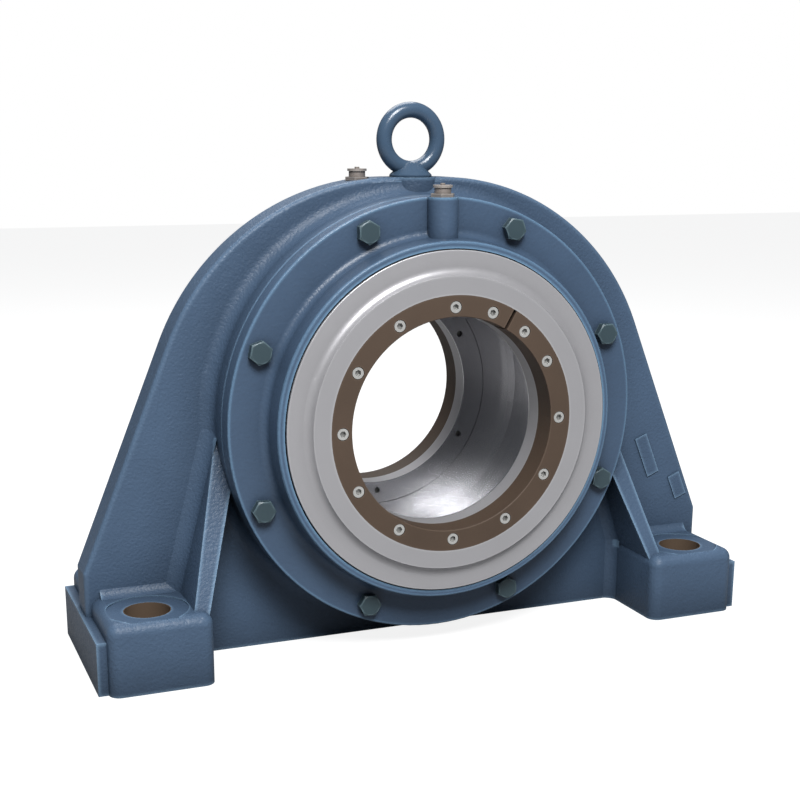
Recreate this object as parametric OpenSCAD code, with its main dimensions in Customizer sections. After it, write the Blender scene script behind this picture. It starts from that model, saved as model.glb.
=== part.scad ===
// Pillow block housing for a large rolling bearing, with labyrinth end seals.
// X runs along the feet, Y along the bore and Z up. The origin is on the ground,
// midway between the feet and midway through their depth.

/* [Feet] */
// Height of the bore axis above the ground
centre_h = 210; // [200:1:230]
// Length over the machined end pads
base_l = 627; // [600:1:660]
// Depth of the feet along the bore
foot_w = 182; // [176:1:200]
// Height of the feet
foot_h = 63; // [56:1:72]
// Length of one foot, without its end pad
foot_l = 90; // [84:1:96]
// Radius on the upright corners and top edges of the feet
foot_r = 10; // [5:0.5:12]
// Thickness of the end pads beyond the feet
pad_t = 8.5; // [6:0.5:12]
// Width of the end pads along the bore
pad_w = 163; // [120:1:164]
// Height of the end pads
pad_h = 46.5; // [30:0.5:50]

/* [Foot bolt holes] */
// Distance of the foot bolt holes from the end pads' faces
hole_end = 48.5; // [44:0.5:54]
// Spacing of the foot bolt holes along the bore
hole_w = 112; // [106:1:118]
// Diameter of the foot bolt holes
hole_d = 39; // [30:0.5:42]
// Diameter of the spot faces round the holes
spot_d = 70.5; // [60:0.5:74]
// Depth of the spot faces below the foot's top
spot_t = 1; // [0.3:0.1:2]

/* [Web] */
// Thickness of the upright web
web_t = 36; // [30:1:40]
// Distance of the web's middle behind the feet's middle
web_y = 5; // [0:0.5:8]
// Radius of the arch on either side of its flat crest
arch_r = 224; // [218:0.5:230]
// Length of the flat crest
crest_l = 46; // [30:1:60]
// Height of the crest above the ground
crest_h = 417.5; // [412:0.5:424]
// Slope of the legs from the upright
leg_angle = 22.4; // [20:0.1:24]
// Distance of the legs' upright ends beyond the feet, over the end pads
leg_out = 5; // [2:0.5:6]
// Radius on the edges of the arch and legs
web_edge_r = 4; // [2:0.5:6]
// Radius of the fillet between the web and the tops of the feet
web_foot_r = 10; // [5:0.5:12]

/* [Ribs] */
// Width of a rib where it meets the foot
rib_w = 14; // [11:0.5:18]
// Slope of a rib's outer side from the upright
rib_outer_angle = 14.8; // [13:0.1:16]
// Slope of a rib's inner side from the upright
rib_inner_angle = 18; // [17:0.1:19]
// Slope of a rib's front edge from the upright
rib_edge_angle = 22; // [20:0.5:26]
// Distance of a rib's front edge from the foot's front, at the foot's top
rib_setback = 14.5; // [12:0.5:20]
// Radius of the fillet between a rib and the web
rib_fillet_r = 15; // [8:0.5:18]
// Radius of the fillet between the web and the facing sides of the feet
inner_fillet_r = 12; // [6:0.5:16]

/* [Bearing seat] */
// Diameter of the bearing seat
seat_d = 310; // [300:1:311]
// Length of the bearing seat between the covers' spigots
seat_l = 112; // [96:1:120]
// Distance of the seat's middle behind the feet's middle
seat_y = 17; // [12:0.5:18]
// Diameter of the barrel round the seat, and of the covers
barrel_d = 386; // [384:0.5:392]
// Radius of the fillet between the barrel and the web
barrel_fillet_r = 12; // [8:0.5:14]

/* [Covers] */
// Thickness of a cover's flange
flange_t = 20; // [16:0.5:24]
// Diameter of the covers' spigots
spigot_d = 316; // [314:0.5:318]
// Length of the covers' spigots
spigot_l = 6; // [5:0.5:8]
// Diameter inside the spigots
spigot_in_d = 288; // [284:1:292]
// Thickness of a cover's wall round the ring's hub
cover_wall_t = 12; // [8:0.5:12]
// Distance of that wall's inner face behind the cover's joint
cover_recess = 8; // [8:0.5:12]
// Height of a cover's collar in front of its flange
collar_h = 25.5; // [24:0.5:27]
// Wall thickness of a cover's collar
collar_t = 6; // [4:0.25:7]
// Radius of the fillet between the collar and the flange
collar_fillet_r = 7; // [5:0.5:9]
// Radius on the outer edges of the flange and collar
cover_edge_r = 1.5; // [0.5:0.25:2.5]
// Slope of the collar's outer side
collar_angle = 6; // [0:0.5:8]

/* [Cover bolts] */
// Diameter of the circle of cover bolts
bolt_circle_d = 355.5; // [353:0.5:358]
// Thread diameter of the cover bolts
bolt_d = 12; // [10:0.5:14]
// Width across the flats of a bolt's head
bolt_head_w = 18; // [16:0.5:22]
// Height of a bolt's head
bolt_head_t = 7.5; // [6:0.5:10]
// Length of a bolt below its head
bolt_l = 45; // [40:1:55]
// Diameter of the bolt holes in the covers
bolt_hole_d = 13.5; // [12.5:0.25:15]

/* [Labyrinth rings] */
// Diameter of the shaft at the seals
shaft_d = 188; // [184:1:190]
// Wall of the ring's hub round the clamp ring
hub_wall = 2.5; // [2:0.1:3]
// Distance of the ring's outer face in front of the collar's lip
ring_face_out = 7.5; // [6:0.5:9]
// Step between the ring's outer zone and its face
ring_step = 5.5; // [3:0.5:6.5]
// Width of the ring's outer zone
step_w = 22; // [20:0.5:25]
// Thickness of the ring's disc at its outer zone
disc_t = 9.5; // [8:0.5:12]
// Thickness of the labyrinth's fins
fin_t = 6.75; // [6.5:0.05:7]

/* [Clamp rings] */
// Width of a clamp ring between the shaft and the labyrinth ring
clamp_w = 18.5; // [17:0.5:20]
// Thickness of a clamp ring
clamp_t = 24.5; // [22:0.5:26]
// Width of the slit in a clamp ring
slit_w = 3; // [1:0.1:4]
// Distance of the clamp screws' axes outside the shaft
screw_inset = 8.25; // [7.5:0.25:9.5]
// Thread diameter of the clamp screws
screw_d = 6; // [5:0.5:6]
// Diameter of a clamp screw's head
screw_head_d = 10; // [9:0.25:10.5]
// Height of a clamp screw's head
screw_head_t = 6; // [5:0.25:7]
// Depth of the counterbores for the screw heads
screw_sink = 6.5; // [6.25:0.25:8]

/* [Lifting eye] */
// Outer diameter of the eye's ring
eye_d = 64.5; // [62:0.5:67]
// Diameter of the hole in the eye
eye_hole_d = 37; // [35:1:40]
// Diameter of the eye's collar
eye_collar_d = 38; // [36:1:40]
// Height of the eye above its seat
eye_h = 65; // [63:0.5:68]
// Thread diameter of the eye's shank
eye_thread_d = 16; // [14:1:18]
// Length of the eye's shank
eye_thread_l = 27; // [20:1:30]
// Depth of the eye's seat below the top of the arch
eye_seat_t = 0.5; // [0.3:0.1:2]
// Radius of the rounded boss in the web under the eye
eye_boss_r = 24; // [21:0.5:26]

/* [Grease fittings] */
// Diameter of a grease fitting's button head
fitting_head_d = 17; // [15:0.5:18]
// Width across the flats of a grease fitting
fitting_w = 19; // [17:0.5:19]
// Thread diameter of a grease fitting
fitting_thread_d = 10; // [8:0.5:11]
// Distance of the body's grease fitting to the left of the bore
fitting_x = 51; // [46:0.5:60]
// Diameter of the grease passages
passage_d = 6; // [4:0.5:7]
// Radius of the bosses for the fittings on the covers
cover_boss_r = 13.5; // [12:0.5:15]

/* [Clearances] */
// Gap between a labyrinth's fins, and between ring and lip
run_gap = 1; // [0.8:0.05:1.2]
// Gap between the ring's hub and the cover
hub_gap = 0.4; // [0.3:0.05:0.8]
// Gap between a spigot and its register, and round the clamp ring
seat_gap = 0.1; // [0.05:0.05:0.2]
// Gap between a thread's crest and its hole
thread_gap = 0.05; // [0.02:0.01:0.1]

/* [Hidden] */
$fn = 96;

// Front and rear, as signs along the bore
front = -1;
rear = 1;
over = 1;
// Depth by which a fillet is sunk into the walls that it joins
sunk = 0.3;
paint = "slategray";
bolt_paint = "darkslategray";
bare_steel = "silver";
clamp_colour = "saddlebrown";
zinc = "lightgray";
seal_rubber = "black";

// Feet and web
foot_out_x = base_l / 2 - pad_t;
foot_in_x = foot_out_x - foot_l;
hole_x = base_l / 2 - hole_end;
web_front_y = web_y - web_t / 2;
web_rear_y = web_y + web_t / 2;
arch_x = crest_l / 2;
arch_z = crest_h - arch_r;

// Levels along the bore, measured outwards from the middle of the seat
spigot_u = seat_l / 2;
joint_u = spigot_u + spigot_l;
wall_u = joint_u + cover_recess;
floor_u = wall_u + cover_wall_t;
flange_u = joint_u + flange_t;
lip_u = flange_u + collar_h;
face_u = lip_u + ring_face_out;
ring_edge_u = face_u - ring_step;
disc_u = ring_edge_u - disc_t;
clamp_u = face_u - clamp_t;
fin_end_gap = 2;
step_fillet_r = 8;

// Radii round the bore
seat_r = seat_d / 2;
spigot_r = spigot_d / 2;
barrel_r = barrel_d / 2;
shaft_r = shaft_d / 2;
clamp_r = shaft_r + clamp_w;
hub_r = clamp_r + hub_wall;
shoulder_r = hub_r + 4;
ring_r = shoulder_r + 4 * (fin_t + run_gap);
step_r = ring_r - step_w;
screw_circle_r = shaft_r + screw_inset;
collar_in_r = ring_r + run_gap;
collar_r = collar_in_r + collar_t;
collar_root_r = collar_r + collar_h * tan(collar_angle);
spigot_in_r = spigot_in_d / 2;

// Cover bolts: eight, half a step off the top
bolt_count = 8;
bolt_step = 360 / bolt_count;

// Angle of a corner of each bolt's head, as the fitter left it
bolt_turns = [50, 0, 26, 32, 57, 58, 18, 30];

// Clamp screws, clockwise from the top seen from outside, and the slit between two of them
screw_angles = [0, 20, 40, 60, 90, 120, 150, 180, 210, 240, 270, 300, 330];
slit_angle = 30;
screw_l = clamp_t - screw_sink + 14;

// Cord seal in the groove round the spigot
seal_d = 2.6;
groove_t = seal_d + 0.1;
groove_w = 3.6;

// Grease fitting, from its seat upwards
fitting_hex_h = 3;
fitting_neck_h = 5;
fitting_head_h = 2;
fitting_nub_h = 1.5;
fitting_thread_l = 8;
fitting_seat_r = fitting_w / 2 + 2;
boss_u = flange_u + 2;
boss_top = barrel_r - 0.5;

// Square with a quarter circle taken out: added it fills a corner, cut it rounds an edge
module spandrel(r, past = 0) {
    difference() {
        translate([-past, -past]) square(r + past);
        translate([r, r]) circle(r);
    }
}

// Rectangle standing on the X axis with its two upper corners rounded
module arched_rect(w, h, r) {
    translate([-w / 2, 0]) square([w, h - r]);
    translate([r - w / 2, 0]) square([w - 2 * r, h]);
    for (s = [-1, 1]) translate([s * (w / 2 - r), h - r]) circle(r);
}

// Upright profile in X and Z carried along Y, centred on y
module along_y(t, y = 0) {
    translate([0, y + t / 2, 0]) rotate([90, 0, 0]) linear_extrude(t) children();
}

// Profile in Y and Z carried along X, centred on x
module along_x(t, x = 0) {
    translate([x - t / 2, 0, 0]) rotate([90, 0, 90]) linear_extrude(t) children();
}

// Places a piece that is drawn with Z outwards along the bore and Y upwards
module at_end(side) {
    translate([0, seat_y, centre_h]) {
        if (side == front) rotate([90, 0, 0]) children();
        else rotate([90, 0, 180]) children();
    }
}

// Copies to both ends of the bore, or to both feet
module both_ends() {
    for (side = [front, rear]) at_end(side) children();
}

module both_feet() {
    children();
    mirror([1, 0, 0]) children();
}

// One foot: a block with rounded corners and top edges
module foot() {
    w = foot_out_x - foot_in_x;
    mid = (foot_out_x + foot_in_x) / 2;
    along_y(foot_w - 2 * foot_r) translate([mid, 0]) arched_rect(w, foot_h, foot_r);
    along_x(w - 2 * foot_r, mid) arched_rect(foot_w, foot_h, foot_r);
    for (sx = [-1, 1], sy = [-1, 1]) {
        translate([mid + sx * (w / 2 - foot_r), sy * (foot_w / 2 - foot_r), 0]) {
            cylinder(h = foot_h - foot_r, r = foot_r);
            translate([0, 0, foot_h - foot_r]) sphere(foot_r);
        }
    }
}

// Machined pad on the outer end of a foot
module end_pad() {
    translate([foot_out_x - foot_r, -pad_w / 2, 0]) cube([foot_r + pad_t, pad_w, pad_h]);
}

// Section across the web's rim: a bar of the web's thickness with two rounded edges
module rim_section(depth) {
    difference() {
        translate([0, -web_t / 2]) square([depth, web_t]);
        for (s = [-1, 1]) {
            translate([depth, s * web_t / 2]) mirror([1, 0]) mirror([0, s > 0 ? 1 : 0]) {
                spandrel(web_edge_r, over);
            }
        }
    }
}

// Two discs and the flat crest between them give the arch and the lower part of the web
module arch() {
    both_feet() translate([arch_x, web_y, arch_z]) rotate([90, 0, 0]) {
        rotate_extrude() rim_section(arch_r);
    }
    translate([-arch_x, web_y, arch_z]) rotate([0, 90, 0]) mirror([1, 0, 0]) {
        linear_extrude(crest_l) rim_section(arch_r);
    }
}

// Sloping leg of the web, ending in a short upright edge above the foot
module leg() {
    slope_l = 2 * arch_r;
    intersection() {
        translate([arch_x, web_y, arch_z]) rotate([0, -leg_angle, 0]) {
            translate([0, 0, -slope_l]) linear_extrude(slope_l) rim_section(arch_r);
        }
        translate([0, web_y, 0]) linear_extrude(crest_h) rim_section(foot_out_x + leg_out);
    }
}

// The whole web, cut off level with the ground
module web() {
    difference() {
        arch();
        translate([-arch_r, web_front_y - over, -arch_r]) cube([2 * arch_r, web_t + 2 * over, arch_r]);
    }
    both_feet() leg();
}

// Fillets along the foot of the web, front and rear
module web_fillets() {
    w = foot_out_x - 2 * web_edge_r - foot_in_x;
    mid = foot_in_x + w / 2;
    along_x(w, mid) {
        translate([web_rear_y - sunk, foot_h - sunk]) spandrel(web_foot_r);
        translate([web_front_y + sunk, foot_h - sunk]) mirror([1, 0]) spandrel(web_foot_r);
    }
}

// Outline of a rib seen along the bore: both sides lean in towards the barrel
module rib_outline() {
    top = centre_h + 20;
    low = foot_h - 2 * foot_r;
    outer = foot_in_x + rib_w;
    polygon([
        [outer - (low - foot_h) * tan(rib_outer_angle), low],
        [outer - (top - foot_h) * tan(rib_outer_angle), top],
        [foot_in_x - (top - foot_h) * tan(rib_inner_angle), top],
        [foot_in_x - (low - foot_h) * tan(rib_inner_angle), low]
    ]);
}

// Side view of the ribs: their front and rear edges slope back to the barrel
module rib_side() {
    reach = foot_w / 2 - rib_setback;
    top = centre_h + 20;
    low = foot_h - 2 * foot_r;
    half_low = reach + (foot_h - low) * tan(rib_edge_angle);
    half_top = reach - (top - foot_h) * tan(rib_edge_angle);
    polygon([[-half_low, low], [half_low, low], [half_top, top], [-half_top, top]]);
}

module rib() {
    intersection() {
        along_y(foot_w) rib_outline();
        along_x(foot_out_x, foot_out_x / 2) rib_side();
    }
}

// Fillets between a rib and the web, leaning with the rib's outer and inner sides
module rib_fillets() {
    l = centre_h - foot_h + 50;
    translate([foot_in_x + rib_w, 0, foot_h]) rotate([0, -rib_outer_angle, 0]) {
        translate([0, 0, -foot_r]) linear_extrude(l) {
            translate([-sunk, web_front_y + sunk]) mirror([0, 1]) spandrel(rib_fillet_r);
            translate([-sunk, web_rear_y - sunk]) spandrel(rib_fillet_r);
        }
    }
    translate([foot_in_x, 0, foot_h]) rotate([0, -rib_inner_angle, 0]) linear_extrude(l - foot_r) {
        inner_fold();
    }
    linear_extrude(foot_h) translate([foot_in_x, 0]) inner_fold();
}

// Section of the fillets on the side that faces the other foot
module inner_fold() {
    translate([sunk, web_front_y + sunk]) mirror([1, 0]) mirror([0, 1]) spandrel(inner_fillet_r);
    translate([sunk, web_rear_y - sunk]) mirror([1, 0]) spandrel(inner_fillet_r);
}

// Barrel round the seat, drawn from the middle outwards with a fillet to the web's face
module barrel_half(web_face_u) {
    rotate_extrude() {
        difference() {
            union() {
                square([barrel_r, joint_u]);
                translate([barrel_r, web_face_u]) spandrel(barrel_fillet_r);
            }
            translate([barrel_r, joint_u]) mirror([1, 0]) mirror([0, 1]) spandrel(cover_edge_r / 2, over);
        }
    }
}

// Low cast pads on the front of the right leg, left bare
module blank_pads() {
    pad_rise = 1.2;
    for (p = [[249, 145, 13.5, 42.5], [286, 111, 13.5, 25]]) {
        translate([p[0], web_front_y - pad_rise, p[1]]) rotate([0, -leg_angle, 0]) {
            translate([-p[2] / 2, 0, -p[3] / 2]) cube([p[2], pad_rise + over, p[3]]);
        }
    }
}

// Seat of the bearing with a register at each end for the covers
module seat_bore() {
    rotate_extrude() {
        translate([0, -over]) square([seat_r, joint_u + 2 * over]);
        translate([0, spigot_u]) square([spigot_r, spigot_l + over]);
    }
}

// Turns a child to each bolt's place
module at_bolt(i) {
    rotate([0, 0, 90 - bolt_step / 2 - i * bolt_step]) translate([bolt_circle_d / 2, 0, 0]) children();
}

// One foot with its rib and fillets, bored and spot faced for two bolts
module drilled_foot() {
    difference() {
        union() {
            foot();
            end_pad();
            rib();
            rib_fillets();
            web_fillets();
        }
        for (s = [-1, 1]) translate([hole_x, s * hole_w / 2, 0]) {
            translate([0, 0, -over]) cylinder(h = foot_h + 2 * over, d = hole_d);
            translate([0, 0, foot_h - spot_t]) cylinder(h = 2 * web_foot_r, d = spot_d);
        }
    }
}

// Seat, thread and passage for the body's grease fitting
body_fitting_z = arch_z + sqrt(pow(arch_r, 2) - pow(fitting_x - arch_x, 2)) - 1;

module body_fitting_hole() {
    translate([-fitting_x, web_y, 0]) {
        translate([0, 0, body_fitting_z]) cylinder(h = 10, r = fitting_seat_r);
        translate([0, 0, body_fitting_z - fitting_thread_l - over]) {
            cylinder(h = fitting_thread_l + 2 * over, d = fitting_thread_d + 2 * thread_gap);
        }
        translate([0, 0, centre_h]) cylinder(h = body_fitting_z - centre_h, d = passage_d);
    }
}

// Seat and thread for the lifting eye
eye_seat_z = crest_h - eye_seat_t;

module eye_hole() {
    translate([0, web_y, eye_seat_z]) cylinder(h = 10, d = eye_collar_d + 2);
    translate([0, web_y, eye_seat_z - eye_thread_l - 2]) {
        cylinder(h = eye_thread_l + 3, d = eye_thread_d + 2 * thread_gap);
    }
}

// Rounded boss that carries the eye's thread, standing out from both faces of the web
module eye_boss() {
    low = centre_h + barrel_r - over;
    top = crest_h - eye_seat_t / 2;
    translate([0, web_y, 0]) rotate_extrude() polygon([
        [0, low], [eye_boss_r, low], [eye_boss_r, top], [0, top]
    ]);
}

module housing_body() {
    color(paint) difference() {
        union() {
            web();
            both_feet() drilled_foot();
            at_end(front) barrel_half(seat_y - web_front_y);
            at_end(rear) barrel_half(web_rear_y - seat_y);
            eye_boss();
            blank_pads();
        }
        both_ends() {
            seat_bore();
            for (i = [0 : bolt_count - 1]) {
                at_bolt(i) translate([0, 0, flange_u - bolt_l - 4]) {
                    cylinder(h = bolt_l, d = bolt_d + 2 * thread_gap);
                }
            }
        }
        body_fitting_hole();
        eye_hole();
    }
}

// Fills the corner between a flat and a side that leans back by an angle
module lean_fillet(r, angle) {
    t = r * tan(45 - angle / 2);
    difference() {
        polygon([[0, 0], [t, 0], [t, r], [-t * sin(angle), t * cos(angle)]]);
        translate([t, r]) circle(r);
    }
}

// Half section of a cover: radius to the right, distance outwards upwards
module cover_section() {
    difference() {
        union() {
            translate([spigot_in_r, spigot_u]) square([spigot_r - seat_gap - spigot_in_r, spigot_l + over]);
            translate([spigot_in_r, joint_u]) square([barrel_r - spigot_in_r, flange_t]);
            translate([hub_r + hub_gap, wall_u]) square([collar_in_r - hub_r, cover_wall_t]);
            polygon([
                [collar_in_r - over, wall_u], [collar_root_r, wall_u], [collar_root_r, flange_u],
                [collar_r, lip_u], [collar_in_r - over, lip_u]
            ]);
            translate([collar_root_r, flange_u]) lean_fillet(collar_fillet_r, collar_angle);
        }
        translate([hub_r, floor_u]) square([collar_in_r - hub_r, lip_u - floor_u + over]);
        translate([barrel_r, flange_u]) mirror([1, 0]) mirror([0, 1]) spandrel(cover_edge_r, over);
        translate([barrel_r, joint_u]) mirror([1, 0]) spandrel(cover_edge_r / 2, over);
        translate([collar_r, lip_u]) mirror([1, 0]) mirror([0, 1]) spandrel(cover_edge_r, over);
        translate([spigot_r - groove_t - seat_gap, spigot_u + (spigot_l - groove_w) / 2]) {
            square([groove_t + over, groove_w]);
        }
    }
    for (i = [1, 3]) {
        translate([ring_r - i * (fin_t + run_gap) - fin_t, floor_u - over]) {
            square([fin_t, disc_u - fin_end_gap - floor_u + over]);
        }
    }
}

module cover() {
    color(paint) difference() {
        union() {
            rotate_extrude() cover_section();
            translate([0, collar_in_r + collar_t / 2, boss_u]) rotate([-90, 0, 0]) {
                cylinder(h = boss_top - collar_in_r - collar_t / 2, r = cover_boss_r);
            }
        }
        for (i = [0 : bolt_count - 1]) {
            at_bolt(i) translate([0, 0, joint_u - over]) {
                cylinder(h = flange_t + 2 * over, d = bolt_hole_d);
            }
        }
        translate([0, boss_top, boss_u]) rotate([-90, 0, 0]) cylinder(h = 5, r = fitting_seat_r);
        translate([0, boss_top + over, boss_u]) rotate([90, 0, 0]) {
            cylinder(h = fitting_thread_l + 2 * over, d = fitting_thread_d + 2 * thread_gap);
        }
        translate([0, boss_top, boss_u]) rotate([90, 0, 0]) {
            cylinder(h = boss_top - ring_r + over, d = passage_d);
        }
    }
}

// Half section of a labyrinth ring
module ring_section() {
    difference() {
        union() {
            translate([shaft_r, wall_u + over]) square([hub_r - shaft_r, face_u - wall_u - over]);
            translate([shaft_r, floor_u + over]) square([shoulder_r - shaft_r, face_u - floor_u - over]);
            translate([shaft_r, disc_u]) square([ring_r - shaft_r, disc_t]);
            translate([shaft_r, disc_u]) square([step_r - shaft_r, face_u - disc_u]);
            intersection() {
                translate([step_r, ring_edge_u]) spandrel(step_fillet_r);
                translate([0, disc_u]) square([ring_r, face_u - disc_u]);
            }
            for (i = [0, 2]) {
                translate([ring_r - i * (fin_t + run_gap) - fin_t, floor_u + fin_end_gap]) {
                    square([fin_t, disc_u - floor_u - fin_end_gap + over]);
                }
            }
        }
        translate([0, clamp_u]) square([clamp_r + seat_gap, clamp_t + over]);
        translate([ring_r, ring_edge_u]) mirror([1, 0]) mirror([0, 1]) spandrel(0.8, over);
    }
}

// Turns a child to each clamp screw's place
module at_screws() {
    for (a = screw_angles) {
        rotate([0, 0, 90 - a]) translate([screw_circle_r, 0, 0]) children();
    }
}

module labyrinth_ring() {
    color(bare_steel) difference() {
        rotate_extrude() ring_section();
        at_screws() translate([0, 0, face_u - screw_sink - screw_l - over]) {
            cylinder(h = screw_l, d = screw_d + 2 * thread_gap);
        }
        for (a = [0 : 60 : 300]) rotate([0, 0, 90 - a]) translate([screw_circle_r, 0, wall_u]) {
            cylinder(h = clamp_u - wall_u, d = screw_d + 2 * thread_gap);
        }
    }
}

module clamp_ring() {
    color(clamp_colour) difference() {
        translate([0, 0, clamp_u]) rotate_extrude() difference() {
            translate([shaft_r, 0]) square([clamp_w, clamp_t]);
            translate([shaft_r, clamp_t]) mirror([0, 1]) spandrel(0.8, over);
        }
        at_screws() {
            translate([0, 0, clamp_u - over]) cylinder(h = clamp_t + 2 * over, d = screw_d + 1);
            translate([0, 0, face_u - screw_sink]) {
                cylinder(h = screw_sink + over, d = screw_head_d + 1);
            }
        }
        rotate([0, 0, 90 - slit_angle]) translate([shaft_r - over, -slit_w / 2, clamp_u - over]) {
            cube([clamp_w + 2 * over, slit_w, clamp_t + 2 * over]);
        }
    }
}

// Socket head screws that hold the clamp ring against the labyrinth ring
module clamp_screws() {
    color(zinc) at_screws() translate([0, 0, face_u - screw_sink]) {
        difference() {
            union() {
                cylinder(h = screw_head_t, d = screw_head_d);
                translate([0, 0, -screw_l]) cylinder(h = screw_l + over, d = screw_d);
            }
            translate([0, 0, screw_head_t / 2]) cylinder(h = screw_head_t, d = screw_head_d * 0.58, $fn = 6);
        }
    }
}

// Hexagon head bolt with a chamfered head, standing on the cover's flange
module cover_bolt(side, i) {
    turn = bolt_turns[i] - 90 + bolt_step / 2 + i * bolt_step;
    color(bolt_paint) at_end(side) at_bolt(i) translate([0, 0, flange_u]) rotate([0, 0, turn]) {
        intersection() {
            cylinder(h = bolt_head_t, d = bolt_head_w / cos(30), $fn = 6);
            rotate_extrude() polygon([
                [0, 0], [bolt_head_w / 2 + 3, 0], [bolt_head_w / 2 + 3, bolt_head_t - 1.9],
                [bolt_head_w / 2 - 0.4, bolt_head_t], [0, bolt_head_t]
            ]);
        }
        translate([0, 0, -bolt_l]) cylinder(h = bolt_l + over, d = bolt_d);
    }
}

// Cord seal lying in the groove round a cover's spigot
module cover_seal() {
    color(seal_rubber) translate([0, 0, spigot_u + spigot_l / 2]) {
        rotate_extrude() translate([spigot_r - seat_gap - groove_t / 2, 0]) circle(d = seal_d);
    }
}

// Forged lifting eye with its collar and shank, ring across the bore
module lifting_eye() {
    bar_r = (eye_d - eye_hole_d) / 4;
    mid_r = (eye_d + eye_hole_d) / 4;
    collar_r = eye_collar_d / 2;
    cone_h = eye_collar_d / 3;
    color(paint) translate([0, web_y, eye_seat_z]) {
        difference() {
            union() {
                translate([0, 0, eye_h - eye_d / 2]) rotate([90, 0, 0]) rotate_extrude() {
                    translate([mid_r, 0]) circle(bar_r);
                }
                rotate_extrude() {
                    polygon([
                        [0, 0], [collar_r - 0.8, 0], [collar_r, 0.8], [collar_r, 2],
                        [collar_r - 0.8, 3], [bar_r + 1, cone_h], [0, cone_h + 1]
                    ]);
                }
            }
            translate([0, 0, -10]) cylinder(h = 10, d = eye_d);
        }
        translate([0, 0, -eye_thread_l]) cylinder(h = eye_thread_l + over, d = eye_thread_d);
    }
}

// Button head grease fitting, drawn upwards from its seat
module grease_fitting() {
    neck_z = fitting_hex_h + fitting_neck_h;
    color(zinc) {
        translate([0, 0, -fitting_thread_l]) cylinder(h = fitting_thread_l + over, d = fitting_thread_d);
        cylinder(h = fitting_hex_h, d = fitting_w / cos(30), $fn = 6);
        rotate_extrude() {
            square([fitting_head_d / 2 - 1.25, neck_z + over]);
            translate([0, neck_z]) square([fitting_head_d / 2, fitting_head_h]);
            square([fitting_head_d / 8, neck_z + fitting_head_h + fitting_nub_h]);
        }
    }
}

module body_grease_fitting() {
    translate([-fitting_x, web_y, body_fitting_z]) grease_fitting();
}

module cover_grease_fitting(side) {
    at_end(side) translate([0, boss_top, boss_u]) rotate([-90, 0, 0]) grease_fitting();
}

housing_body();
at_end(front) cover();  // front_cover
at_end(rear) cover();  // rear_cover
at_end(front) labyrinth_ring();  // front_labyrinth_ring
at_end(rear) labyrinth_ring();  // rear_labyrinth_ring
at_end(front) clamp_ring();  // front_clamp_ring
at_end(rear) clamp_ring();  // rear_clamp_ring
at_end(front) clamp_screws();  // front_clamp_screws
at_end(rear) clamp_screws();  // rear_clamp_screws
cover_bolt(front, 0);  // front_cover_bolt_1
cover_bolt(front, 1);  // front_cover_bolt_2
cover_bolt(front, 2);  // front_cover_bolt_3
cover_bolt(front, 3);  // front_cover_bolt_4
cover_bolt(front, 4);  // front_cover_bolt_5
cover_bolt(front, 5);  // front_cover_bolt_6
cover_bolt(front, 6);  // front_cover_bolt_7
cover_bolt(front, 7);  // front_cover_bolt_8
cover_bolt(rear, 0);  // rear_cover_bolt_1
cover_bolt(rear, 1);  // rear_cover_bolt_2
cover_bolt(rear, 2);  // rear_cover_bolt_3
cover_bolt(rear, 3);  // rear_cover_bolt_4
cover_bolt(rear, 4);  // rear_cover_bolt_5
cover_bolt(rear, 5);  // rear_cover_bolt_6
cover_bolt(rear, 6);  // rear_cover_bolt_7
cover_bolt(rear, 7);  // rear_cover_bolt_8
lifting_eye();
body_grease_fitting();
cover_grease_fitting(front);  // front_cover_grease_fitting
cover_grease_fitting(rear);  // rear_cover_grease_fitting
at_end(front) cover_seal();  // front_cover_seal
at_end(rear) cover_seal();  // rear_cover_seal
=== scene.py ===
"""Looks for a pillow block housing, in a plain pale studio.

The pieces are the cast body, the covers with their bolts, the labyrinth seals, the lifting eye and the
grease fittings.
"""

import logging
import math
from dataclasses import dataclass, field
from enum import Enum
from typing import Callable

import bpy
from mathutils import Matrix, Vector


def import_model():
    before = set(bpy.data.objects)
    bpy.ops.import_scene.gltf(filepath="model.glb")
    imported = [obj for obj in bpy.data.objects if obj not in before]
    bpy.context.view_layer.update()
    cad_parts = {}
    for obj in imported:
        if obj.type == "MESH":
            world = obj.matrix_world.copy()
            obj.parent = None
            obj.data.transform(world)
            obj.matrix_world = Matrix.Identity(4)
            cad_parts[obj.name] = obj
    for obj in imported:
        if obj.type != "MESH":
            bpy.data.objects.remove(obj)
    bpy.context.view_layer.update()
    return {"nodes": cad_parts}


logging.basicConfig(level=logging.INFO, format="%(levelname)s %(message)s")
LOG = logging.getLogger("pillow_block")

# The bore's axis runs along Y at this height; the seat's middle lies at BORE_Y. Metres.
BORE_Y = 0.017
BORE_Z = 0.210
# A foot bolt hole: distance from the middle along X and along Y, and a radius just outside its wall.
FOOT_HOLE = (0.265, 0.056, 0.0202)
# Machined places: radius of the seat's wall, of the cover's inner lip, and half lengths between the covers'
# spigots and between the labyrinth rings' inner faces.
SEAT_RADIUS = 0.1585
LIP_RADIUS = 0.1505
SPIGOT_HALF = 0.0705
RING_RADIUS = 0.2
RING_HALF = 0.0725
# A half length beyond the whole part: the mask then has no end along the bore.
NO_END = 1.0
# Rays per sample for the painted edge highlight and the painted shade in hollows, which look at the shape
# round a point, and the gain on the painted edge highlight.
EDGE_HIGHLIGHT_RAYS = 8
HOLLOW_SHADE_RAYS = 6
EDGE_HIGHLIGHT_GAIN = 2.4
# The range of the grain's noise that is used, and how far it moves the roughness each way.
GRAIN_RANGE = (0.3, 0.7)
GLOSS_RANGE = (-0.05, 0.07)
# Cells per metre of a sand casting's unevenness, and the height of a lathe's rings against the grain.
WAVE_SCALE = 55.0
RING_HEIGHT = 6.0
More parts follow.
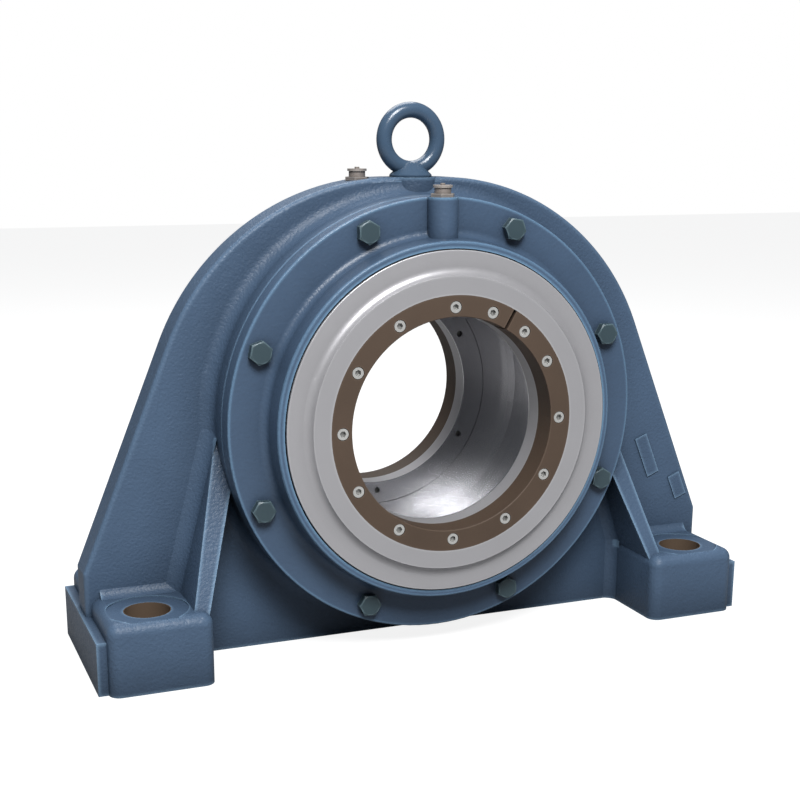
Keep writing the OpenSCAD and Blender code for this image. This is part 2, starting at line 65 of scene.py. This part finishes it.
# Detail of the noise in the blotches, in the grain, and in the unevenness and the lathe's rings, and the
# roughness of the blotches' noise.
MOTTLE_DETAIL = 4.0
GRAIN_DETAIL = 3.0
COARSE_DETAIL = 2.0
MOTTLE_ROUGHNESS = 0.6
# White with full alpha, for the floor's glow and the background.
WHITE = (1.0, 1.0, 1.0, 1.0)

Colour = tuple[float, float, float]
Place = tuple[float, float, float]
Socket = bpy.types.NodeSocket
Tree = bpy.types.NodeTree
# The masks of a piece's machined places: all bare metal, and the rusty bolt holes among it.
Machined = tuple[Socket, Socket | None] | None


class End(Enum):
    """The two ends of the bore, with the side of the seat's middle on which each lies."""

    FRONT = -1
    REAR = 1

    @property
    def word(self) -> str:
        """The word that starts the names of this end's nodes."""
        return self.name.lower()


class Zone(Enum):
    """Parts of a painted piece that are machined bare."""

    NONE = 0
    SEAT_AND_HOLES = 1
    COVER_INSIDE = 2
    RING_INSIDE = 3


@dataclass(frozen=True)
class Bare:
    """Machined metal inside a painted piece: its colour, roughness and metallic values."""

    colour: Colour = (0.7, 0.7, 0.72)
    hole_colour: Colour = (0.12, 0.085, 0.06)
    roughness: float = 0.24
    metallic: float = 1.0


@dataclass(frozen=True)
class Finish:
    """A finish: base colour and gloss, and how strongly each effect shows on it, among them a painted
    highlight along edges and painted shade in hollows.

    The colours are linear values. Sizes of texture are in cells per metre.
    """

    name: str
    colour: Colour
    roughness: float
    metallic: float = 0.0
    mottle: float = 0.12
    mottle_scale: float = 18.0
    bump: float = 0.1
    bump_scale: float = 900.0
    bump_depth: float = 0.0002
    edge: float = 0.0
    painted_highlight_colour: Colour = (0.3, 0.3, 0.3)
    edge_width: float = 0.002
    shade: float = 0.0
    reach: float = 0.05
    specular: float = 0.5
    turned: float = 0.0
    turned_scale: float = 900.0
    wave: float = 0.0
    zone: Zone = Zone.NONE


BARE = Bare()
# Each finish's edge values paint a bright highlight line into the colour along outer edges, and its shade
# value paints shade into hollows.
CAST_PAINT = Finish("cast_paint", (0.074, 0.12, 0.194), 0.42, bump=0.8, bump_scale=400.0, bump_depth=0.0008,
                    edge=0.65, painted_highlight_colour=(0.22, 0.35, 0.5), edge_width=0.0035, shade=0.9, specular=0.3,
                    wave=0.7, zone=Zone.SEAT_AND_HOLES)
COVER_PAINT = Finish("cover_paint", (0.07, 0.114, 0.186), 0.34, bump=0.7, bump_scale=360.0,
                     bump_depth=0.0006, edge=0.8, painted_highlight_colour=(0.2, 0.36, 0.54), edge_width=0.003,
                     shade=0.85, specular=0.4, wave=0.6, zone=Zone.COVER_INSIDE)
BOLT_PAINT = Finish("bolt_paint", (0.045, 0.075, 0.09), 0.38, bump=0.12, bump_scale=700.0,
                    edge=0.6, painted_highlight_colour=(0.2, 0.3, 0.34), edge_width=0.0015, shade=0.5)
EYE_PAINT = Finish("eye_paint", (0.058, 0.1, 0.16), 0.22, bump=0.3, bump_scale=300.0, wave=1.0, shade=0.5)
# The ring's short reach and full shade paint shade close to its step and its recess.
RING_STEEL = Finish("ring_steel", (0.49, 0.485, 0.505), 0.38, metallic=0.45, mottle=0.05, bump=0.06,
                    turned=0.5, edge=0.35, painted_highlight_colour=(0.8, 0.81, 0.82), edge_width=0.002, shade=1.0,
                    reach=0.014, zone=Zone.RING_INSIDE)
CLAMP_BROWN = Finish("clamp_brown", (0.085, 0.056, 0.038), 0.6, mottle=0.2, bump=0.25, bump_scale=800.0,
                     edge=0.3, painted_highlight_colour=(0.17, 0.12, 0.09), edge_width=0.0015, shade=0.6)
SCREW_STEEL = Finish("screw_steel", (0.66, 0.66, 0.64), 0.34, metallic=0.5, mottle=0.1, edge=0.4,
                     painted_highlight_colour=(0.8, 0.8, 0.78), edge_width=0.001, shade=0.6)
FITTING_ZINC = Finish("fitting_zinc", (0.42, 0.37, 0.34), 0.36, metallic=0.45, mottle=0.25, bump=0.15,
                      edge=0.6, painted_highlight_colour=(0.75, 0.7, 0.64), edge_width=0.0012, shade=0.8)
SEAL_RUBBER = Finish("seal_rubber", (0.02, 0.02, 0.022), 0.7, mottle=0.1, bump=0.1)


class Effects:
    """Shader node groups that several finishes use, each built once."""

    def __init__(self) -> None:
        """Builds the groups."""
        self.mottle = self._group("mottle", self._fill_mottle, {"Scale": 18.0, "Amount": 0.12})
        # A painted highlight along outer edges, and painted shade in hollows.
        self.edge = self._group("painted_edge_highlight_line", self._fill_painted_edge_highlight, {"Width": 0.002, "Amount": 0.5})
        self.hollow_painted_shade = self._group("hollow_shade", self._fill_hollow_painted_shade, {"Reach": 0.03, "Amount": 0.5})
        self.inside = self._group("inside_radius", self._fill_inside, {"Radius": 0.15, "Depth": 1.0})

    @staticmethod
    def _group(name: str, fill: Callable[[Tree, Socket, Socket], Socket], inputs: dict[str, float]) -> Tree:
        """Makes a group with float inputs and one float output called Mask.

        Args:
            name: the group's name.
            fill: adds the nodes between the group's input and output, and gives back the result socket.
            inputs: the two float inputs and their defaults.

        Returns:
            The new node group.
        """
        tree = bpy.data.node_groups.new(name, "ShaderNodeTree")
        for label, value in inputs.items():
            socket = tree.interface.new_socket(name=label, in_out="INPUT", socket_type="NodeSocketFloat")
            socket.default_value = value
        tree.interface.new_socket(name="Mask", in_out="OUTPUT", socket_type="NodeSocketFloat")
        start = tree.nodes.new("NodeGroupInput")
        end = tree.nodes.new("NodeGroupOutput")
        result = fill(tree, start.outputs[0], start.outputs[1])
        tree.links.new(result, end.inputs["Mask"])
        return tree

    @staticmethod
    def _fill_mottle(tree: Tree, scale: Socket, amount: Socket) -> Socket:
        """Soft blotches in the paint: 1 plus twice the noise, centred on 0, times the amount.

        Args:
            tree: the group's tree.
            scale: cells per metre.
            amount: strength of the blotches.

        Returns:
            The factor by which the colour is multiplied.
        """
        coord = tree.nodes.new("ShaderNodeTexCoord")
        noise = tree.nodes.new("ShaderNodeTexNoise")
        noise.inputs["Detail"].default_value = MOTTLE_DETAIL
        noise.inputs["Roughness"].default_value = MOTTLE_ROUGHNESS
        tree.links.new(coord.outputs["Object"], noise.inputs["Vector"])
        tree.links.new(scale, noise.inputs["Scale"])
        centred = math_node(tree, "SUBTRACT", noise.outputs["Fac"], 0.5)
        scaled = math_node(tree, "MULTIPLY", centred, amount)
        return math_node(tree, "MULTIPLY_ADD", scaled, 2.0, 1.0)

    @staticmethod
    def _fill_painted_edge_highlight(tree: Tree, width: Socket, amount: Socket) -> Socket:
        """Painted highlight: a bright line along outer edges, where another face is near behind the surface.

        Args:
            tree: the group's tree.
            width: the line's width in metres.
            amount: strength of the line.

        Returns:
            A mask from 0 on flat places to the amount on edges.
        """
        within = tree.nodes.new("ShaderNodeAmbientOcclusion")
        within.samples = EDGE_HIGHLIGHT_RAYS
        within.inside = True
        tree.links.new(width, within.inputs["Distance"])
        near = math_node(tree, "SUBTRACT", 1.0, within.outputs["AO"])
        wide = math_node(tree, "MULTIPLY", near, EDGE_HIGHLIGHT_GAIN, clamp=True)
        return math_node(tree, "MULTIPLY", wide, amount, clamp=True)

    @staticmethod
    def _fill_hollow_painted_shade(tree: Tree, reach: Socket, amount: Socket) -> Socket:
        """Painted shade in hollows: ambient occlusion, as a factor on the colour.

        Args:
            tree: the group's tree.
            reach: how far a wall is felt, in metres.
            amount: strength of the shade.

        Returns:
            The factor by which the colour is multiplied.
        """
        hidden = tree.nodes.new("ShaderNodeAmbientOcclusion")
        hidden.samples = HOLLOW_SHADE_RAYS
        tree.links.new(reach, hidden.inputs["Distance"])
        less = math_node(tree, "SUBTRACT", 1.0, hidden.outputs["AO"])
        scaled = math_node(tree, "MULTIPLY", less, amount)
        return math_node(tree, "SUBTRACT", 1.0, scaled, clamp=True)

    @staticmethod
    def _fill_inside(tree: Tree, radius: Socket, depth: Socket) -> Socket:
        """Picks what lies inside a cylinder round the bore.

        Args:
            tree: the group's tree.
            radius: the cylinder's radius in metres.
            depth: its half length from the seat's middle in metres.

        Returns:
            A mask, 1 inside the cylinder.
        """
        _, far, along = from_bore(tree)
        near = math_node(tree, "LESS_THAN", far, radius)
        short = math_node(tree, "LESS_THAN", along, depth)
        return math_node(tree, "MULTIPLY", near, short)


def from_bore(tree: Tree) -> tuple[Socket, Socket, Socket]:
    """Measures every point from the bore's axis.

    Args:
        tree: the tree that gets the nodes.

    Returns:
        The object coordinates, the distance from the axis, and the distance along it from the seat's middle.
    """
    coord = tree.nodes.new("ShaderNodeTexCoord")
    axes = tree.nodes.new("ShaderNodeSeparateXYZ")
    tree.links.new(coord.outputs["Object"], axes.inputs["Vector"])
    up = math_node(tree, "SUBTRACT", axes.outputs["Z"], BORE_Z)
    radius = length_of(tree, axes.outputs["X"], up)
    along = math_node(tree, "SUBTRACT", axes.outputs["Y"], BORE_Y)
    return coord.outputs["Object"], radius, math_node(tree, "ABSOLUTE", along)


def length_of(tree: Tree, first: Socket, second: Socket) -> Socket:
    """Gives the length of two sides at right angles.

    Args:
        tree: the tree that gets the nodes.
        first: one side.
        second: the other side.

    Returns:
        The length's socket.
    """
    flat = tree.nodes.new("ShaderNodeCombineXYZ")
    tree.links.new(first, flat.inputs["X"])
    tree.links.new(second, flat.inputs["Y"])
    length = tree.nodes.new("ShaderNodeVectorMath")
    length.operation = "LENGTH"
    tree.links.new(flat.outputs["Vector"], length.inputs[0])
    return length.outputs["Value"]


def math_node(tree: Tree, operation: str, *values: Socket | float, clamp: bool = False) -> Socket:
    """Adds a Math node.

    Args:
        tree: the tree that gets the node.
        operation: the node's operation.
        values: its inputs in order, each a socket or a number.
        clamp: whether the result is kept between 0 and 1.

    Returns:
        The node's output.
    """
    node = tree.nodes.new("ShaderNodeMath")
    node.operation = operation
    node.use_clamp = clamp
    for place, value in enumerate(values):
        if isinstance(value, (int, float)):
            node.inputs[place].default_value = value
        else:
            tree.links.new(value, node.inputs[place])
    return node.outputs[0]


def blend(tree: Tree, factor: Socket, first: Socket | Colour, second: Socket | Colour) -> Socket:
    """Mixes two colours.

    Args:
        tree: the tree that gets the node.
        factor: 0 gives the first colour and 1 the second.
        first: a colour or its socket.
        second: a colour or its socket.

    Returns:
        The mixed colour.
    """
    mix = tree.nodes.new("ShaderNodeMix")
    mix.data_type = "RGBA"
    tree.links.new(factor, mix.inputs["Factor"])
    for label, colour in (("A", first), ("B", second)):
        socket = next(i for i in mix.inputs if i.name == label and i.type == "RGBA")
        if isinstance(colour, tuple):
            socket.default_value = (*colour, 1.0)
        else:
            tree.links.new(colour, socket)
    return next(o for o in mix.outputs if o.type == "RGBA")


def scale_colour(tree: Tree, colour: Socket, factor: Socket) -> Socket:
    """Multiplies a colour by a factor, with no upper limit.

    Args:
        tree: the tree that gets the node.
        colour: the colour's socket.
        factor: the factor's socket.

    Returns:
        The new colour.
    """
    node = tree.nodes.new("ShaderNodeVectorMath")
    node.operation = "SCALE"
    tree.links.new(colour, node.inputs[0])
    tree.links.new(factor, node.inputs["Scale"])
    return node.outputs["Vector"]


class Dresser:
    """Makes the material of each finish once and puts it on pieces."""

    def __init__(self, effects: Effects) -> None:
        """Keeps the shared effects.

        Args:
            effects: the shader node groups.
        """
        self.effects = effects
        self.made: dict[str, bpy.types.Material] = {}

    def put(self, obj: bpy.types.Object, finish: Finish) -> None:
        """Puts a finish on all of a piece.

        Args:
            obj: the piece.
            finish: its finish.
        """
        material = self.made.get(finish.name) or self._make(finish)
        self.made[finish.name] = material
        if obj.data.materials:
            for place in range(len(obj.data.materials)):
                obj.data.materials[place] = material
        else:
            obj.data.materials.append(material)

    def _effect(self, tree: Tree, group: Tree, first: float, second: float) -> Socket:
        """Adds a shared effect with its own values.

        Args:
            tree: the material's tree.
            group: the effect's group.
            first: the first input's value.
            second: the second input's value.

        Returns:
            The group's Mask output.
        """
        node = tree.nodes.new("ShaderNodeGroup")
        node.node_tree = group
        node.inputs[0].default_value = first
        node.inputs[1].default_value = second
        return node.outputs["Mask"]

    def _make(self, finish: Finish) -> bpy.types.Material:
        """Builds a finish's material.

        Args:
            finish: the finish.

        Returns:
            The material.
        """
        material = bpy.data.materials.new(finish.name)
        material.use_nodes = True
        tree = material.node_tree
        shader = tree.nodes["Principled BSDF"]
        shader.inputs["Metallic"].default_value = finish.metallic
        shader.inputs["Specular IOR Level"].default_value = finish.specular
        coord = tree.nodes.new("ShaderNodeTexCoord")
        grain = tree.nodes.new("ShaderNodeTexNoise")
        grain.inputs["Scale"].default_value = finish.bump_scale
        grain.inputs["Detail"].default_value = GRAIN_DETAIL
        tree.links.new(coord.outputs["Object"], grain.inputs["Vector"])
        zone = self._zone(tree, finish.zone) if finish.zone is not Zone.NONE else None
        self._colour(tree, finish, zone)
        self._gloss(tree, finish, zone, grain.outputs["Fac"])
        self._relief(tree, finish, zone, coord.outputs["Object"], grain.outputs["Fac"])
        return material

    def _colour(self, tree: Tree, finish: Finish, zone: Machined) -> None:
        """Sets a material's colour: paint, a painted highlight along edges, bare metal, blotches and painted
        shade in hollows.

        Args:
            tree: the material's tree.
            finish: the finish.
            zone: the masks of the machined places, or None.
        """
        shader = tree.nodes["Principled BSDF"]
        # The edge mask mixes a painted highlight colour into the paint along outer edges.
        edge = self._effect(tree, self.effects.edge, finish.edge_width, finish.edge)
        painted = blend(tree, edge, finish.colour, finish.painted_highlight_colour)
        if zone:
            bare, holes = zone
            metal = blend(tree, holes, BARE.colour, BARE.hole_colour) if holes else BARE.colour
            painted = blend(tree, bare, painted, metal)
            bright = math_node(tree, "SUBTRACT", bare, holes) if holes else bare
            less = BARE.metallic - finish.metallic
            metallic = math_node(tree, "MULTIPLY_ADD", bright, less, finish.metallic)
            tree.links.new(metallic, shader.inputs["Metallic"])
        factor = self._effect(tree, self.effects.mottle, finish.mottle_scale, finish.mottle)
        # Painted shade: the colour is darkened in hollows, except on bare metal.
        if finish.shade:
            hollow_painted_shade = self._effect(tree, self.effects.hollow_painted_shade, finish.reach, finish.shade)
            if zone:
                hollow_painted_shade = math_node(tree, "MAXIMUM", hollow_painted_shade, zone[0])
            factor = math_node(tree, "MULTIPLY", factor, hollow_painted_shade)
        tree.links.new(scale_colour(tree, painted, factor), shader.inputs["Base Color"])

    @staticmethod
    def _gloss(tree: Tree, finish: Finish, zone: Machined, grain: Socket) -> None:
        """Sets a material's roughness, which the grain moves a little and bare metal keeps even.

        Args:
            tree: the material's tree.
            finish: the finish.
            zone: the masks of the machined places, or None.
            grain: the grain's noise.
        """
        rough = tree.nodes.new("ShaderNodeMapRange")
        rough.inputs["From Min"].default_value = GRAIN_RANGE[0]
        rough.inputs["From Max"].default_value = GRAIN_RANGE[1]
        rough.inputs["To Min"].default_value = finish.roughness + GLOSS_RANGE[0]
        rough.inputs["To Max"].default_value = finish.roughness + GLOSS_RANGE[1]
        tree.links.new(grain, rough.inputs["Value"])
        gloss = rough.outputs["Result"]
        if zone:
            coarse = math_node(tree, "MULTIPLY", gloss, math_node(tree, "SUBTRACT", 1.0, zone[0]))
            gloss = math_node(tree, "MULTIPLY_ADD", zone[0], BARE.roughness, coarse)
        tree.links.new(gloss, tree.nodes["Principled BSDF"].inputs["Roughness"])

    def _relief(self, tree: Tree, finish: Finish, zone: Machined, place: Socket, grain: Socket) -> None:
        """Sets a material's bump: grain and unevenness, which bare metal lacks, and a lathe's rings.

        Args:
            tree: the material's tree.
            finish: the finish.
            zone: the masks of the machined places, or None.
            place: the object coordinates.
            grain: the grain's noise.
        """
        height = grain
        if finish.wave:
            height = self._wave(tree, place, finish, height)
        if zone:
            cast = math_node(tree, "SUBTRACT", 1.0, zone[0])
            height = math_node(tree, "MULTIPLY", height, cast)
        if finish.turned:
            height = self._turning(tree, finish, height)
        bump = tree.nodes.new("ShaderNodeBump")
        bump.inputs["Strength"].default_value = finish.bump
        bump.inputs["Distance"].default_value = finish.bump_depth
        tree.links.new(height, bump.inputs["Height"])
        tree.links.new(bump.outputs["Normal"], tree.nodes["Principled BSDF"].inputs["Normal"])

    def _zone(self, tree: Tree, zone: Zone) -> Machined:
        """Masks the machined places of a painted piece.

        Args:
            tree: the material's tree.
            zone: which places.

        Returns:
            A mask of all bare metal, and one of the rusty bolt holes among it.
        """
        inside = self.effects.inside
        if zone is Zone.COVER_INSIDE:
            lip = self._effect(tree, inside, LIP_RADIUS, NO_END)
            spigot = self._effect(tree, inside, SEAT_RADIUS, SPIGOT_HALF)
            return math_node(tree, "MAXIMUM", lip, spigot), None
        if zone is Zone.RING_INSIDE:
            return self._effect(tree, inside, RING_RADIUS, RING_HALF), None
        seat = self._effect(tree, inside, SEAT_RADIUS, NO_END)
        coord = tree.nodes.new("ShaderNodeTexCoord")
        axes = tree.nodes.new("ShaderNodeSeparateXYZ")
        tree.links.new(coord.outputs["Object"], axes.inputs["Vector"])
        sides = []
        for axis, middle in (("X", FOOT_HOLE[0]), ("Y", FOOT_HOLE[1])):
            far = math_node(tree, "ABSOLUTE", axes.outputs[axis])
            sides.append(math_node(tree, "SUBTRACT", far, middle))
        holes = math_node(tree, "LESS_THAN", length_of(tree, *sides), FOOT_HOLE[2])
        return math_node(tree, "MAXIMUM", seat, holes), holes

    @staticmethod
    def _wave(tree: Tree, place: Socket, finish: Finish, grain: Socket) -> Socket:
        """Adds the gentle unevenness of a sand casting under the paint.

        Args:
            tree: the material's tree.
            place: the object coordinates.
            finish: the finish, for the strength.
            grain: the grain's height.

        Returns:
            The height with the unevenness.
        """
        noise = tree.nodes.new("ShaderNodeTexNoise")
        noise.inputs["Scale"].default_value = WAVE_SCALE
        noise.inputs["Detail"].default_value = COARSE_DETAIL
        tree.links.new(place, noise.inputs["Vector"])
        return math_node(tree, "MULTIPLY_ADD", noise.outputs["Fac"], finish.wave, grain)

    @staticmethod
    def _turning(tree: Tree, finish: Finish, grain: Socket) -> Socket:
        """Fine rings left by a lathe, round the bore: noise read at one value for each radius.

        Args:
            tree: the material's tree.
            finish: the finish, for the rings' scale and strength.
            grain: the grain's height, to which the rings are added.

        Returns:
            The height with the rings.
        """
        _, radius, along = from_bore(tree)
        line = tree.nodes.new("ShaderNodeCombineXYZ")
        tree.links.new(radius, line.inputs["X"])
        tree.links.new(along, line.inputs["Y"])
        rings = tree.nodes.new("ShaderNodeTexNoise")
        rings.inputs["Scale"].default_value = finish.turned_scale
        rings.inputs["Detail"].default_value = COARSE_DETAIL
        tree.links.new(line.outputs["Vector"], rings.inputs["Vector"])
        return math_node(tree, "MULTIPLY_ADD", rings.outputs["Fac"], finish.turned * RING_HEIGHT, grain)


@dataclass
class Casting:
    """The cast body with its machined places."""

    dresser: Dresser
    nodes: dict[str, bpy.types.Object]

    def build(self) -> None:
        """Dresses the body."""
        self.dresser.put(self.nodes["housing_body"], CAST_PAINT)
        LOG.info("housing body dressed")


@dataclass
class CoverSet:
    """A cover with its eight bolts, cord seal and grease fitting."""

    dresser: Dresser
    nodes: dict[str, bpy.types.Object]
    end: End
    bolt_count: int = 8

    def build(self) -> None:
        """Dresses this end's fixed pieces."""
        word = self.end.word
        self.dresser.put(self.nodes[word + "_cover"], COVER_PAINT)
        for number in range(1, self.bolt_count + 1):
            self.dresser.put(self.nodes[f"{word}_cover_bolt_{number}"], BOLT_PAINT)
        self.dresser.put(self.nodes[word + "_cover_seal"], SEAL_RUBBER)
        self.dresser.put(self.nodes[word + "_cover_grease_fitting"], FITTING_ZINC)
        LOG.info("%s cover with %d bolts dressed", word, self.bolt_count)


@dataclass
class SealRotor:
    """A labyrinth ring with its clamping ring and screws, which turn with the shaft."""

    dresser: Dresser
    nodes: dict[str, bpy.types.Object]
    end: End

    def build(self) -> None:
        """Dresses this end's turning pieces."""
        word = self.end.word
        self.dresser.put(self.nodes[word + "_labyrinth_ring"], RING_STEEL)
        self.dresser.put(self.nodes[word + "_clamp_ring"], CLAMP_BROWN)
        self.dresser.put(self.nodes[word + "_clamp_screws"], SCREW_STEEL)
        LOG.info("%s seal rotor dressed", word)


@dataclass
class TopFittings:
    """The lifting eye and the body's grease fitting."""

    dresser: Dresser
    nodes: dict[str, bpy.types.Object]

    def build(self) -> None:
        """Dresses the eye and the fitting."""
        self.dresser.put(self.nodes["lifting_eye"], EYE_PAINT)
        self.dresser.put(self.nodes["body_grease_fitting"], FITTING_ZINC)
        LOG.info("lifting eye and grease fitting dressed")


@dataclass
class Studio:
    """Camera, floor, world and lamps.

    Angles are in degrees and lengths in metres. The camera's focal length and centre are in pixels of the
    photo. Each lamp is its place, its side and its power in watts; all of them point at aim.
    """

    place: Place = (-0.4821, -1.1599, 0.4527)
    yaw: float = 22.105
    pitch: float = -14.406
    roll: float = 0.211
    focal_px: float = 1374.24
    centre_px: tuple[float, float] = (400.0, 488.86)
    image_px: float = 800.0
    sensor: float = 36.0
    floor_half: float = 6.0
    floor_lift: float = 0.87
    floor_grey: float = 0.25
    floor_roughness: float = 0.9
    sky: Colour = (0.75, 0.78, 0.82)
    ambient: float = 0.16
    aim: Place = (0.0, 0.0, 0.22)
    lamps: list[tuple[Place, float, float]] = field(default_factory=lambda: [
        ((-0.35, -1.6, 2.0), 1.0, 76.0),
        ((0.1, 1.1, 2.1), 1.6, 34.0),
    ])

    def build(self) -> None:
        """Places the camera, the floor, the world and the lamps."""
        self._camera()
        self._floor()
        self._world()
        for number, (place, size, watts) in enumerate(self.lamps):
            self._lamp(number, place, size, watts)
        scene = bpy.context.scene
        scene.view_settings.view_transform = "Standard"
        LOG.info("studio built with %d lamps", len(self.lamps))

    def _camera(self) -> None:
        """Places the camera at the photograph's viewing angle.

        The axes come from yaw about the upright, pitch about the camera's right, then roll about its view.
        """
        yaw, pitch, roll = (math.radians(a) for a in (self.yaw, self.pitch, self.roll))
        ahead = Vector((math.sin(yaw) * math.cos(pitch), math.cos(yaw) * math.cos(pitch), math.sin(pitch)))
        level = Vector((math.cos(yaw), -math.sin(yaw), 0.0))
        top = level.cross(ahead)
        right = math.cos(roll) * level + math.sin(roll) * top
        top = -math.sin(roll) * level + math.cos(roll) * top
        data = bpy.data.cameras.new("camera")
        data.sensor_width = self.sensor
        data.lens = self.focal_px * self.sensor / self.image_px
        data.shift_x = (self.image_px / 2 - self.centre_px[0]) / self.image_px
        data.shift_y = (self.centre_px[1] - self.image_px / 2) / self.image_px
        camera = bpy.data.objects.new("camera", data)
        bpy.context.scene.collection.objects.link(camera)
        turn = Matrix((right, top, -ahead)).transposed().to_4x4()
        camera.matrix_world = Matrix.Translation(self.place) @ turn
        bpy.context.scene.camera = camera

    def _floor(self) -> None:
        """Makes a plain pale floor that stays white to the camera and keeps the object's shadow."""
        half = self.floor_half
        mesh = bpy.data.meshes.new("floor")
        corners = [(-half, -half, 0.0), (half, -half, 0.0), (half, half, 0.0), (-half, half, 0.0)]
        mesh.from_pydata(corners, [], [(0, 1, 2, 3)])
        floor = bpy.data.objects.new("floor", mesh)
        bpy.context.scene.collection.objects.link(floor)
        material = bpy.data.materials.new("floor")
        material.use_nodes = True
        shader = material.node_tree.nodes["Principled BSDF"]
        grey = self.floor_grey
        shader.inputs["Base Color"].default_value = (grey, grey, grey, 1.0)
        shader.inputs["Roughness"].default_value = self.floor_roughness
        shader.inputs["Emission Color"].default_value = WHITE
        path = material.node_tree.nodes.new("ShaderNodeLightPath")
        lift = math_node(material.node_tree, "MULTIPLY", path.outputs["Is Camera Ray"], self.floor_lift)
        material.node_tree.links.new(lift, shader.inputs["Emission Strength"])
        mesh.materials.append(material)

    def _world(self) -> None:
        """Lights the scene evenly, and shows white to the camera."""
        world = bpy.data.worlds.new("studio")
        bpy.context.scene.world = world
        world.use_nodes = True
        tree = world.node_tree
        tree.nodes.clear()
        out = tree.nodes.new("ShaderNodeOutputWorld")
        soft = tree.nodes.new("ShaderNodeBackground")
        soft.inputs["Color"].default_value = (*self.sky, 1.0)
        soft.inputs["Strength"].default_value = self.ambient
        white = tree.nodes.new("ShaderNodeBackground")
        white.inputs["Color"].default_value = WHITE
        mix = tree.nodes.new("ShaderNodeMixShader")
        path = tree.nodes.new("ShaderNodeLightPath")
        tree.links.new(path.outputs["Is Camera Ray"], mix.inputs["Fac"])
        tree.links.new(soft.outputs["Background"], mix.inputs[1])
        tree.links.new(white.outputs["Background"], mix.inputs[2])
        tree.links.new(mix.outputs["Shader"], out.inputs["Surface"])

    def _lamp(self, number: int, place: Place, size: float, watts: float) -> None:
        """Places a square area lamp that points at the object's middle.

        Args:
            number: the lamp's number.
            place: where it hangs.
            size: its side in metres.
            watts: its power.
        """
        data = bpy.data.lights.new(f"lamp_{number}", "AREA")
        data.size = size
        data.energy = watts
        lamp = bpy.data.objects.new(f"lamp_{number}", data)
        bpy.context.scene.collection.objects.link(lamp)
        turn = (Vector(self.aim) - Vector(place)).to_track_quat("-Z", "Y").to_matrix().to_4x4()
        lamp.matrix_world = Matrix.Translation(place) @ turn


def corners(box: tuple[Vector, Vector]) -> list[list[float]]:
    """Gives a box as plain lists of numbers.

    Args:
        box: its lowest and highest corners.

    Returns:
        The same two corners as lists.
    """
    return [[float(v) for v in corner] for corner in box]


def main() -> None:
    """Loads the frame, dresses every piece and sets the stage."""
    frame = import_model()
    nodes = frame["nodes"]
    dresser = Dresser(Effects())
    Casting(dresser, nodes).build()
    for end in End:
        CoverSet(dresser, nodes, end).build()
        SealRotor(dresser, nodes, end).build()
    TopFittings(dresser, nodes).build()
    Studio().build()


if __name__ == "__main__":
    main()
